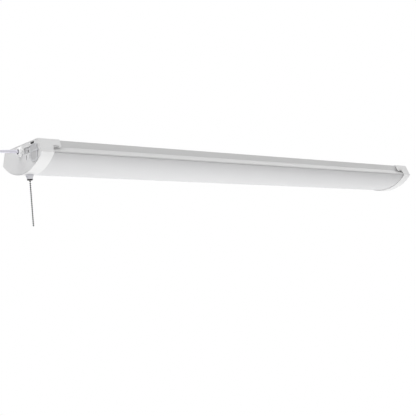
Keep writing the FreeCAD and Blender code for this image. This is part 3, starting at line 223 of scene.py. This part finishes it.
def platedMetal(name, colour, roughness, lineMm):
    # drawn or turned metal under a bright plating: clear reflections, broken by faint tool lines
    material, tree = startMaterial(name)
    place = addNode(tree, "ShaderNodeTexCoord")
    stretch = addNode(tree, "ShaderNodeMapping", {
        "Vector": place.outputs["Object"], "Scale": (0.15, 0.15, 1.0)})
    lines = addNode(tree, "ShaderNodeTexNoise", {
        "Vector": stretch.outputs["Vector"], "Scale": 1000 / lineMm, "Detail": 2.0})
    gloss = addNode(tree, "ShaderNodeMapRange", {
        "Value": lines.outputs["Fac"], "To Min": roughness * 0.7, "To Max": roughness * 1.3})
    bump = addNode(tree, "ShaderNodeBump", {
        "Height": lines.outputs["Fac"], "Strength": 0.05, "Distance": 0.02 * mm})
    body = addNode(tree, "ShaderNodeBsdfPrincipled", {
        "Base Color": linear(colour), "Metallic": 1.0, "Roughness": gloss.outputs["Result"],
        "Normal": bump.outputs["Normal"]})
    addNode(tree, "ShaderNodeOutputMaterial", {"Surface": body.outputs["BSDF"]})
    return material


plainLook = {"grainScale": 800.0, "grainBump": 0.15, "glossSpread": 0.06}


def plainMoulding(name, colour, roughness):
    # phenolic, rubber, insulation and solder mask: one colour, with a sheen that is a little uneven
    material, tree = startMaterial(name)
    place = addNode(tree, "ShaderNodeTexCoord")
    grain = addNode(tree, "ShaderNodeTexNoise", {
        "Vector": place.outputs["Object"], "Scale": plainLook["grainScale"], "Detail": 2.0})
    gloss = addNode(tree, "ShaderNodeMapRange", {
        "Value": grain.outputs["Fac"], "To Min": roughness - plainLook["glossSpread"],
        "To Max": roughness + plainLook["glossSpread"]})
    bump = addNode(tree, "ShaderNodeBump", {
        "Height": grain.outputs["Fac"], "Strength": plainLook["grainBump"],
        "Distance": 0.05 * mm})
    body = addNode(tree, "ShaderNodeBsdfPrincipled", {
        "Base Color": linear(colour), "Roughness": gloss.outputs["Result"],
        "Normal": bump.outputs["Normal"]})
    addNode(tree, "ShaderNodeOutputMaterial", {"Surface": body.outputs["BSDF"]})
    return material


finishes = {
    "white_steel": bakedEnamel(),
    "white_plastic": mouldedAbs(),
    "frosted_lens": frostedLens(),
    "grey_plastic": mouldedAbs("lightGreyPolypropylene", "#d3d4d6", "#c9cacc", 0.5),
    "cord_jacket": cordPvc(),
    "black_strap": plainMoulding("blackHookLoopStrap", "#17171a", 0.85),
    "steel": platedMetal("zincPlatedSteel", "#b9bcc0", 0.34, 1.2),
    "brass": platedMetal("halfHardBrass", "#c9a453", 0.3, 0.8),
    "chrome": platedMetal("brightNickelPlate", "#c8c8cc", 0.12, 0.6),
    "chain_steel": platedMetal("blackNickelBeads", "#3a3a3d", 0.22, 0.5),
    "board_white": plainMoulding("whiteSolderMask", "#e8e8e2", 0.4),
    "board_green": plainMoulding("greenSolderMask", "#1d5a2c", 0.35),
    "led_yellow": plainMoulding("phosphorGel", "#ecd668", 0.3),
    "component_dark": plainMoulding("shrinkSleeve", "#1c1c22", 0.45),
    "switch_black": plainMoulding("blackPhenolic", "#161618", 0.4),
    "wire_black": plainMoulding("blackInsulation", "#141414", 0.45),
    "wire_white": plainMoulding("whiteInsulation", "#dedede", 0.45),
    "wire_red": plainMoulding("redInsulation", "#b41a12", 0.45),
}
# painted shade: the cover's sunken panels and the outlet's recess take a darker grey and are duller
# than the cap round them; the gland is glossier
coverPanelShade = mouldedAbs("coverPanelPaintedShade", "#c3c3c4", "#bcbcbd", 0.45)
outletRecessShade = mouldedAbs("outletRecessPaintedShade", "#c0c0c1", "#b9b9ba", 0.5)
glandNylon = mouldedAbs("whiteGlossNylon", "#f6f6f6", "#f2f2f2", 0.2)
# black: the bell's insulating bushing, and painted shade inside the gland's mouth
blackBushingAndShade = plainMoulding("blackBushingAndPaintedShade", "#0c0c0d", 0.6)
print("materials made:", len(finishes) + 4)

slotOf = {entry["node"]: entry["material_slot"] for entry in frame["record"]["subparts"]}
for node, piece in frame["nodes"].items():
    piece.data.materials.clear()
    piece.data.materials.append(finishes[slotOf[node]])


# sheet-metal and moulded pieces: the CAD shape with its edges rounded

roundedPieces = {  # node: edge radius in mm
    "housing": 0.35,
    "left_end_cap": 0.45,
    "right_end_cap": 0.45,
    "left_end_plate": 0.6,
    "right_end_plate": 0.6,
    "diffuser_lens": 0.3,
    "link_outlet_body": 0.2,
    "outlet_cover": 0.25,
    "gland_lock_nut": 0.2,
    "cord_tie": 0.3,
    "plug_blades": 0.2,
    "plug_ground_pin": 0.4,
}


edgeWork = {"mergeMm": 0.002, "flatAngle": 1.0, "roundFromAngle": 22.0, "segments": 2}
latchTabs = {"longest": 50.0, "outsideY": 55.0}  # the lanced tabs that hold the end caps
lensEdge = {"raise": 1.35, "outsideY": 72.0, "below": 0.1}


def mergedCopy(node):  # a CAD mesh is loose triangles, so its copy is merged first
    bm = bmesh.new()
    bm.from_mesh(frame["nodes"][node].data)
    bmesh.ops.remove_doubles(bm, verts=bm.verts, dist=edgeWork["mergeMm"] * mm)
    bmesh.ops.dissolve_limit(bm, angle_limit=math.radians(edgeWork["flatAngle"]),
                             verts=bm.verts, edges=bm.edges)
    return bm


def atLatchTab(edge):  # the tabs keep their sheared edges
    return (edge.calc_length() < latchTabs["longest"] * mm
            and min(abs(vert.co.y) for vert in edge.verts) > latchTabs["outsideY"] * mm)


def roundEdges(bm, radius, kept=None):
    edges = [edge for edge in bm.edges if len(edge.link_faces) == 2
             and edge.calc_face_angle(0) > math.radians(edgeWork["roundFromAngle"])
             and not (kept and kept(edge))]
    bmesh.ops.bevel(bm, geom=edges, offset=radius, offset_type="OFFSET",
                    segments=edgeWork["segments"], profile=0.5, affect="EDGES",
                    clamp_overlap=True, material=-1)


def raiseLensEdge(bm):  # the lens's long outer edges snap up against the channel's lip
    lowest = (lensLook["topZ"] - lensEdge["below"]) * mm
    for vert in bm.verts:
        if abs(vert.co.y) > lensEdge["outsideY"] * mm and vert.co.z > lowest:
            vert.co.z += lensEdge["raise"] * mm


for node, radius in roundedPieces.items():
    bm = mergedCopy(node)
    if node == "diffuser_lens":
        raiseLensEdge(bm)
    roundEdges(bm, radius * mm, atLatchTab if node == "housing" else None)
    piece = meshPiece(node + ".dressed", bm)
    finishPiece(piece, slotOf[node], [node], finishes[slotOf[node]])
print("rounded pieces:", len(roundedPieces))


# camera

cameraFit = {  # fitted to the light's corners in the picture
    "eye": (-1530.2, -1529.1, -394.5), "yaw": 42.72, "pitch": 7.50, "roll": -5.87,
    "lens": 76.84, "sensor": 36.0, "nearest": 0.02, "farthest": 60,
}


def makeCamera():
    yaw, pitch, roll = (math.radians(cameraFit[key]) for key in ("yaw", "pitch", "roll"))
    ahead = Vector((math.sin(yaw) * math.cos(pitch), math.cos(yaw) * math.cos(pitch),
                    math.sin(pitch)))
    right = Vector((math.cos(yaw), -math.sin(yaw), 0))
    up = right.cross(ahead)
    side = right * math.cos(roll) + up * math.sin(roll)
    top = up * math.cos(roll) - right * math.sin(roll)
    data = bpy.data.cameras.new("cameraAtPhotoAngle")
    data.lens, data.sensor_width = cameraFit["lens"], cameraFit["sensor"]
    data.clip_start, data.clip_end = cameraFit["nearest"], cameraFit["farthest"]
    camera = bpy.data.objects.new("cameraAtPhotoAngle", data)
    turn = Matrix((side, top, -ahead)).transposed().to_4x4()
    camera.matrix_world = Matrix.Translation(Vector(cameraFit["eye"]) * mm) @ turn
    bpy.context.scene.collection.objects.link(camera)
    bpy.context.scene.camera = camera


makeCamera()
print("camera placed")


# supply cord

cordLook = {"diameter": 6.5, "start": (-613.6, 3.0, -12.4), "roundness": 5, "smoothness": 4}
cordOffsets = [  # straight out of the gland, then down to the coil
    (0.0, 0.0, 0.0),
    (-30.9, 0.0, 0.0),
    (-61.4, 0.4, -3.1),
    (-85.4, 1.0, -20.6),
    (-92.9, 1.5, -49.6),
    (-92.9, 1.5, -77.6),
]
coilLook = {"innerRadius": 25.9, "pitch": 7.1, "turnsIn": 3, "pointsPerTurn": 20,
            "plugSide": 13.75}


def eased(share):  # a step from 0 to 1 without corners
    share = min(max(share, 0.0), 1.0)
    return share * share * (3 - 2 * share)


def coilPoint(turn, start, centreY):  # spirals in, then steps aside and spirals out to the plug
    turnsIn, pitch = coilLook["turnsIn"], coilLook["pitch"]
    radius = coilLook["innerRadius"] + pitch * abs(turn - turnsIn)
    climb = pitch * eased((turn - turnsIn + 0.25) * 2)
    climb += coilLook["plugSide"] * eased((turn - 2 * turnsIn + 0.5) * 2)
    angle = 2 * math.pi * turn
    return Vector((start.x - climb, centreY - radius * math.cos(angle),
                   start.z - radius * math.sin(angle)))


def makeCord():
    start = Vector(cordLook["start"])
    points = [start + Vector(offset) for offset in cordOffsets]
    coilStart = points[-1]
    outer = coilLook["innerRadius"] + coilLook["turnsIn"] * coilLook["pitch"]
    steps = coilLook["pointsPerTurn"] * coilLook["turnsIn"] * 2
    for k in range(1, steps + 1):
        points.append(coilPoint(2 * coilLook["turnsIn"] * k / steps, coilStart,
                                coilStart.y + outer))
    points.append(points[-1] + Vector((0, 0, -cordLook["diameter"])))
    curve = bpy.data.curves.new("supplyCord", "CURVE")
    curve.dimensions = "3D"
    curve.bevel_depth = cordLook["diameter"] / 2 * mm
    curve.bevel_resolution = cordLook["roundness"]
    curve.resolution_u = cordLook["smoothness"]
    curve.use_fill_caps = True
    spline = curve.splines.new("NURBS")
    spline.points.add(len(points) - 1)
    for knot, point in zip(spline.points, points):
        knot.co = (*(point * mm), 1.0)
    spline.order_u = 3
    spline.use_endpoint_u = True
    cord = bpy.data.objects.new("supplyCord", curve)
    bpy.context.scene.collection.objects.link(cord)
    return cord, sum((b - a).length for a, b in zip(points, points[1:])) * mm, start * mm


cord, cordRun, cordExit = makeCord()
finishPiece(cord, "cord_jacket", ["power_cord", "cord_coil"], finishes["cord_jacket"])
print("cord run along its points, m:", round(cordRun, 3))


# bead chain

beadLook = {"radius": 1.6, "flat": 1.48, "pitch": 4.07, "firstDrop": 72.6, "shown": 23,
            "upper": 11, "linkRadius": 0.45, "linkSides": 10, "across": 20, "down": 12}


def addBead(bm, number, lineX):
    made = bmesh.ops.create_uvsphere(bm, u_segments=beadLook["across"],
                                     v_segments=beadLook["down"],
                                     radius=beadLook["radius"] * mm)
    for vert in made["verts"]:  # flat where the wire goes in
        vert.co.z = max(-beadLook["flat"] * mm, min(beadLook["flat"] * mm, vert.co.z))
    drop = beadLook["firstDrop"] + beadLook["pitch"] * number
    bmesh.ops.translate(bm, verts=made["verts"], vec=(lineX, 0, -drop * mm))


def addLink(bm, number, lineX):  # the wire between a bead and the next one down
    made = bmesh.ops.create_cone(bm, cap_ends=True, segments=beadLook["linkSides"],
                                 radius1=beadLook["linkRadius"] * mm,
                                 radius2=beadLook["linkRadius"] * mm,
                                 depth=beadLook["pitch"] * mm * 0.5)
    drop = beadLook["firstDrop"] + beadLook["pitch"] * (number + 0.5)
    bmesh.ops.translate(bm, verts=made["verts"], vec=(lineX, 0, -drop * mm))


def makeStrand(name, beads, links, nodes):
    low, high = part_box("chain_lower_beads")
    lineX = (low[0] + high[0]) / 2
    bm = bmesh.new()
    for number in beads:
        addBead(bm, number, lineX)
    for number in links:
        addLink(bm, number, lineX)
    piece = meshPiece(name, bm, 60)
    finishPiece(piece, "chain_steel", nodes, finishes["chain_steel"])


upper, shown = beadLook["upper"], beadLook["shown"]
makeStrand("chainTopBead", [-1], [], ["chain_top_bead"])
makeStrand("chainUpperStrand", range(upper), range(-1, upper - 1),
           ["chain_upper_beads", "chain_upper_links"])
makeStrand("chainLowerStrand", range(upper, shown), range(upper - 1, shown - 1),
           ["chain_lower_beads", "chain_lower_links"])
print("bead chain strung:", shown, "beads")


# turned pieces: bell and cord gland

def spunPiece(profile, centre, turnTo=None, steps=72):
    # profile: (distance from the axis, distance along it) in mm
    bm = bmesh.new()
    corners = [bm.verts.new((r * mm, 0, along * mm)) for r, along in profile]
    edges = [bm.edges.new(pair) for pair in zip(corners, corners[1:] + corners[:1])]
    bmesh.ops.spin(bm, geom=corners + edges, cent=(0, 0, 0), axis=(0, 0, 1),
                   angle=2 * math.pi, steps=steps, use_merge=True)
    bmesh.ops.remove_doubles(bm, verts=bm.verts, dist=1e-6)
    bmesh.ops.recalc_face_normals(bm, faces=bm.faces)
    if turnTo:
        bmesh.ops.transform(bm, matrix=turnTo, verts=bm.verts)
    bmesh.ops.translate(bm, verts=bm.verts, vec=centre)
    return bm


bellLook = {"flats": 15.6, "flatDepth": 3.4, "topRadius": 7.2, "shoulder": 0.3,
            "rimRadius": 6.0, "flare": 0.55, "flareRise": 4.0, "step": 0.15, "lip": 1.7,
            "mouthRadius": 4.9, "throatRadius": 3.0, "throatRise": 2.3, "bushingTop": 3.0,
            "height": 11.0, "bore": 4.8, "collarEdge": 0.35}


def makeBell():
    low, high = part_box("chain_bell")
    centre = Vector(((low[0] + high[0]) / 2, (low[1] + high[1]) / 2, high[2]))
    drop = -bellLook["height"]
    skirtTop = -bellLook["flatDepth"]
    lipTop = drop + bellLook["lip"]
    rim, mouth, step = (bellLook[key] for key in ("rimRadius", "mouthRadius", "step"))
    profile = [
        (bellLook["bore"], skirtTop),
        (bellLook["topRadius"] - bellLook["shoulder"], skirtTop),
        (bellLook["topRadius"], skirtTop - bellLook["shoulder"]),
        (rim + bellLook["flare"], drop + bellLook["flareRise"]),
        (rim + step, lipTop + 0.3),
        (rim, lipTop + 0.1),
        (rim - step, lipTop),
        (rim - step, drop + 0.2),
        (rim - 0.4, drop),
        (mouth + step, drop),
        (mouth, drop + step),
        (bellLook["throatRadius"], drop + bellLook["throatRise"]),
        (bellLook["bore"], drop + bellLook["throatRise"]),
    ]
    bm = spunPiece(profile, centre)
    for face in bm.faces:  # the mouth is lined with a black insulating bushing
        middle = face.calc_center_median()
        reach = math.hypot(middle.x - centre.x, middle.y - centre.y)
        height = (middle.z - centre.z) / mm - drop
        if height < bellLook["lip"] or (reach < mouth * mm and height < bellLook["bushingTop"]):
            face.material_index = 1
    # the hexagonal collar above the skirt
    corner = bellLook["flats"] / math.sqrt(3) * mm
    collar = bmesh.ops.create_cone(bm, cap_ends=True, segments=6, radius1=corner, radius2=corner,
                                   depth=bellLook["flatDepth"] * mm)
    caps = [face for face in {face for vert in collar["verts"] for face in vert.link_faces}
            if abs(face.normal.z) > 0.9]
    bmesh.ops.inset_individual(bm, faces=caps, use_even_offset=True,
                               thickness=(bellLook["flats"] / 2 - bellLook["bore"]) * mm)
    boreEdges = list({edge for face in caps for edge in face.edges})
    boreVerts = list({vert for face in caps for vert in face.verts})
    bmesh.ops.delete(bm, geom=caps, context="FACES_ONLY")
    bmesh.ops.bridge_loops(bm, edges=boreEdges)  # the rod runs through the collar
    collar["verts"] += boreVerts
    bmesh.ops.rotate(bm, verts=collar["verts"], cent=(0, 0, 0),
                     matrix=Matrix.Rotation(math.radians(90), 3, "Z"))
    bmesh.ops.translate(bm, verts=collar["verts"],
                        vec=centre + Vector((0, 0, skirtTop / 2 * mm)))
    collarEdges = {edge for vert in collar["verts"] for edge in vert.link_edges}
    bmesh.ops.bevel(bm, geom=list(collarEdges), offset=bellLook["collarEdge"] * mm, segments=2,
                    profile=0.5, affect="EDGES", material=-1)
    piece = meshPiece("chainBell", bm)
    finishPiece(piece, "chrome", ["chain_bell"], finishes["chrome"], blackBushingAndShade)


makeBell()

glandLook = {"radius": 10.4, "proud": 6.6, "barrel": 8.0, "inner": 15.0, "tail": 5.6,
             "mouth": 4.9, "mouthDepth": 3.6, "bore": 3.25, "nut": 5.9, "domePoints": 8,
             "mouthEdge": (0.2, 0.3), "rimWidth": 1.5, "sideHeight": 1.2, "paintedShadeAbove": 1.0}


def makeGland():
    low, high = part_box("cord_gland")
    centre = Vector((high[0] - glandLook["inner"] * mm, (low[1] + high[1]) / 2,
                     (low[2] + high[2]) / 2))
    top, mouth, mouthDepth = (glandLook[key] for key in ("proud", "mouth", "mouthDepth"))
    edgeDrop, edgeWidth = glandLook["mouthEdge"]
    side = glandLook["sideHeight"]
    profile = [(mouth, top - edgeDrop), (mouth + edgeWidth, top)]
    rimRadius = mouth + glandLook["rimWidth"]
    for k in range(glandLook["domePoints"] + 1):  # a quarter ellipse from the rim to the side
        angle = math.pi / 2 * k / glandLook["domePoints"]
        profile.append((rimRadius + (glandLook["radius"] - rimRadius) * math.sin(angle),
                        side + (top - side) * math.cos(angle)))
    profile += [
        (glandLook["radius"], 0.0),
        (glandLook["barrel"], 0.0),
        (glandLook["barrel"], -glandLook["nut"]),
        (glandLook["tail"], -glandLook["inner"]),
        (glandLook["bore"], -glandLook["inner"]),
        (glandLook["bore"], top - mouthDepth),
        (mouth, top - mouthDepth),
    ]
    outward = Matrix.Rotation(math.radians(-90), 4, "Y")
    bm = spunPiece(profile, centre, outward)
    # painted shade: the faces inside the mouth take the black material
    paintedShadeFrom = centre.x - (top - mouthDepth - glandLook["paintedShadeAbove"]) * mm
    for face in bm.faces:  # the shade inside the mouth
        middle = face.calc_center_median()
        reach = math.hypot(middle.y - centre.y, middle.z - centre.z)
        if reach < mouth * mm and middle.x < paintedShadeFrom:
            face.material_index = 1
    piece = meshPiece("cordGland", bm)
    finishPiece(piece, "white_plastic", ["cord_gland"], glandNylon, blackBushingAndShade)


makeGland()
print("bell and gland turned")


# plug

plugLook = {"grip": 24.0, "width": 26.0, "depth": 18.0, "corner": 5.0, "rim": 1.2,
            "rings": 9, "waist": 0.09, "sideWaist": 0.7}
reliefLook = {"height": 16.0, "ribs": 5, "base": 7.2, "neck": 5.2, "groove": 1.1,
              "core": 0.5, "top": 3.6, "ribShare": 0.62, "grooveShare": (0.68, 0.98)}


def uprightEdges(bm):
    return [edge for edge in bm.edges
            if abs((edge.verts[0].co - edge.verts[1].co).normalized().z) > 0.9]


def makePlug():
    low, high = (Vector(corner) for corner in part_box("plug_body"))
    centre = (low + high) / 2
    bm = bmesh.new()
    made = bmesh.ops.create_cube(bm, size=1.0)
    bmesh.ops.scale(bm, verts=made["verts"],
                    vec=(plugLook["depth"] * mm, plugLook["width"] * mm, plugLook["grip"] * mm))
    bmesh.ops.bevel(bm, geom=uprightEdges(bm), offset=plugLook["corner"] * mm, segments=5,
                    profile=0.5, affect="EDGES", material=-1)
    bmesh.ops.subdivide_edges(bm, edges=uprightEdges(bm), cuts=plugLook["rings"])
    for vert in bm.verts:  # the grip is waisted for the fingers
        share = vert.co.z / (plugLook["grip"] * mm) + 0.5
        waist = 1 - plugLook["waist"] * math.sin(math.pi * min(max(share, 0), 1)) ** 2
        vert.co.x *= waist
        vert.co.y *= 1 - (1 - waist) * plugLook["sideWaist"]
    rims = [edge for edge in bm.edges
            if edge.is_manifold and edge.calc_face_angle(0) > math.radians(50)]
    bmesh.ops.bevel(bm, geom=rims, offset=plugLook["rim"] * mm, segments=3, profile=0.5,
                    affect="EDGES", material=-1)
    bmesh.ops.translate(bm, verts=bm.verts,
                        vec=(centre.x, centre.y, low.z + plugLook["grip"] / 2 * mm))
    # ribbed strain relief up to the cord
    base = low.z + plugLook["grip"] * mm
    height, ribs, core = (reliefLook[key] for key in ("height", "ribs", "core"))
    profile = [(core, -0.5)]
    for k in range(ribs):
        bottom, step = height * k / ribs, height / ribs
        radius = reliefLook["base"] - (reliefLook["base"] - reliefLook["neck"]) * k / ribs
        inside = radius - reliefLook["groove"]
        grooveLow, grooveHigh = (bottom + step * share for share in reliefLook["grooveShare"])
        profile += [(radius, bottom - 0.4 if k == 0 else bottom),
                    (radius, bottom + step * reliefLook["ribShare"]),
                    (inside, grooveLow), (inside, grooveHigh)]
    profile += [(reliefLook["top"], height), (core, height)]
    relief = spunPiece(profile, Vector((centre.x, centre.y, base)), steps=40)
    joined = bpy.data.meshes.new("reliefMesh")
    relief.to_mesh(joined)
    relief.free()
    bm.from_mesh(joined)
    bpy.data.meshes.remove(joined)
    piece = meshPiece("plugGrip", bm, 40)
    finishPiece(piece, "cord_jacket", ["plug_body"], finishes["cord_jacket"])
    return piece


plugGrip = makePlug()


# painted shade: darker grey on the cover's sunken panel floors and in the outlet's recess

def paintFaces(pieceName, material, chosen):
    mesh = bpy.data.objects[pieceName].data
    mesh.materials.append(material)
    for polygon in mesh.polygons:
        if chosen(polygon.center, polygon.normal):
            polygon.material_index = len(mesh.materials) - 1


insets = {"coverPanel": (0.5, 1.5), "outletRecess": (1.0, 2.0)}  # how far behind the front
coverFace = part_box("outlet_cover")[0][0]
panelFrom, panelTo = (coverFace + depth * mm for depth in insets["coverPanel"])
paintFaces("outlet_cover.dressed", coverPanelShade,
           lambda at, out: out.x < -0.9 and panelFrom < at.x < panelTo)
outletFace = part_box("link_outlet_body")[0][0]
recessFrom, recessTo = (outletFace + depth * mm for depth in insets["outletRecess"])
paintFaces("link_outlet_body.dressed", outletRecessShade,
           lambda at, out: recessFrom < at.x < recessTo)


# floor, backdrop and lights

stageLook = {"floorZ": -2.4, "size": 40.0, "surround": 0.44, "floorColour": "#dcdcdc"}


def seenRay(tree):  # 1 to the camera, in reflections and through clear parts, else 0
    ray = addNode(tree, "ShaderNodeLightPath")
    seen = addNode(tree, "ShaderNodeMath", {
        0: ray.outputs["Is Camera Ray"], 1: ray.outputs["Is Glossy Ray"]}, operation="MAXIMUM")
    seen = addNode(tree, "ShaderNodeMath", {
        0: seen.outputs["Value"], 1: ray.outputs["Is Transmission Ray"]}, operation="MAXIMUM")
    return seen.outputs["Value"]


def makeStage():  # a pale floor that looks white, keeps the shadow and is clear from below
    bm = bmesh.new()
    bmesh.ops.create_grid(bm, x_segments=1, y_segments=1, size=stageLook["size"] / 2)
    mesh = bpy.data.meshes.new("paleFloor")
    bm.to_mesh(mesh)
    bm.free()
    floor = bpy.data.objects.new("paleFloor", mesh)
    floor.location.z = stageLook["floorZ"]
    bpy.context.scene.collection.objects.link(floor)
    material, tree = startMaterial("paleStudioFloor")
    paint = addNode(tree, "ShaderNodeBsdfDiffuse", {"Color": linear(stageLook["floorColour"])})
    white = addNode(tree, "ShaderNodeEmission", {"Color": (1, 1, 1, 1), "Strength": 1.0})
    front = addNode(tree, "ShaderNodeMixShader", {
        "Fac": seenRay(tree), 1: paint.outputs["BSDF"], 2: white.outputs["Emission"]})
    side = addNode(tree, "ShaderNodeNewGeometry")
    clear = addNode(tree, "ShaderNodeBsdfTransparent")
    both = addNode(tree, "ShaderNodeMixShader", {
        "Fac": side.outputs["Backfacing"], 1: front.outputs["Shader"],
        2: clear.outputs["BSDF"]})
    addNode(tree, "ShaderNodeOutputMaterial", {"Surface": both.outputs["Shader"]})
    mesh.materials.append(material)


def makeWorld():  # an even, dim surround to the object, white to the camera and in reflections
    world = bpy.data.worlds.new("whiteStudio")
    bpy.context.scene.world = world
    world.use_nodes = True
    tree = world.node_tree
    tree.nodes.clear()
    strength = addNode(tree, "ShaderNodeMapRange", {
        "Value": seenRay(tree), "To Min": stageLook["surround"], "To Max": 1.0})
    light = addNode(tree, "ShaderNodeBackground", {
        "Color": (1, 1, 1, 1), "Strength": strength.outputs["Result"]})
    addNode(tree, "ShaderNodeOutputWorld", {"Surface": light.outputs["Background"]})


lightsAim = (-0.1, 0.0, -0.02)
softLights = {  # name: (place in m, size in m, watts, seen in reflections)
    "leftSoft": ((-3.16, 0.0, 2.55), 2.5, 70.0, True),
    "frontSoft": ((-0.1, -3.06, 2.55), 2.5, 40.0, True),
    "rightFill": ((2.96, 0.0, 2.55), 2.5, 60.0, False),
    "backFill": ((-0.1, 3.06, 2.55), 2.5, 60.0, False),
    "underSoft": ((-0.1, 0.0, -2.22), 3.0, 45.0, True),
}


def makeLights():
    for name, (place, size, watts, reflected) in softLights.items():
        data = bpy.data.lights.new(name, "AREA")
        data.shape, data.size, data.energy = "SQUARE", size, watts
        light = bpy.data.objects.new(name, data)
        light.location = place
        light.rotation_mode = "QUATERNION"
        light.rotation_quaternion = (Vector(lightsAim) - Vector(place)).to_track_quat("-Z", "Y")
        light.visible_camera = False
        light.visible_glossy = reflected
        bpy.context.scene.collection.objects.link(light)


makeStage()
makeWorld()
makeLights()
bpy.context.scene.view_settings.view_transform = "Standard"
print("stage and lights set")
